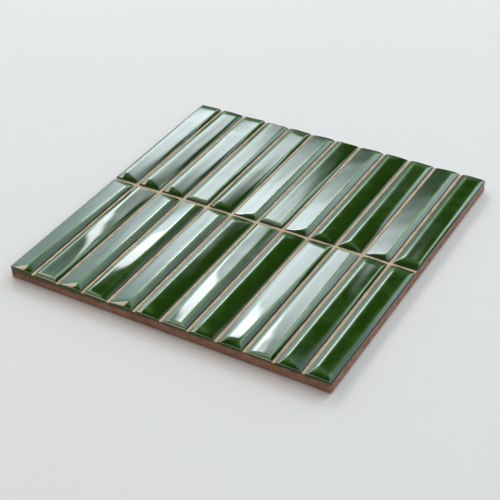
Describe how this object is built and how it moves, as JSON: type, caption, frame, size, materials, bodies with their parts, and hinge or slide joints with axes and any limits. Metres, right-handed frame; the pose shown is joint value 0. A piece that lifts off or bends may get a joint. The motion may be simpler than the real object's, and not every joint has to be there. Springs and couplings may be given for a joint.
{
  "type": "relief wall tile",
  "caption": "Square glazed ceramic wall tile, scored into two rows of slim facetted bars with flat joints between them and a keyed flat back.",
  "frame": {"origin": "middle of the tile's flat back, which is the underside as it lies", "axes": "+Z out of the wall through the glazed face, X across the bars, +Y along the bars from the near row to the far row"},
  "size_m": [0.2, 0.2, 0.0088],
  "materials": {
    "glaze": "gloss",
    "biscuit": "matte"
  },
  "bodies": {
    "root": {"tile": "glaze"}
  },
  "joints": []
}
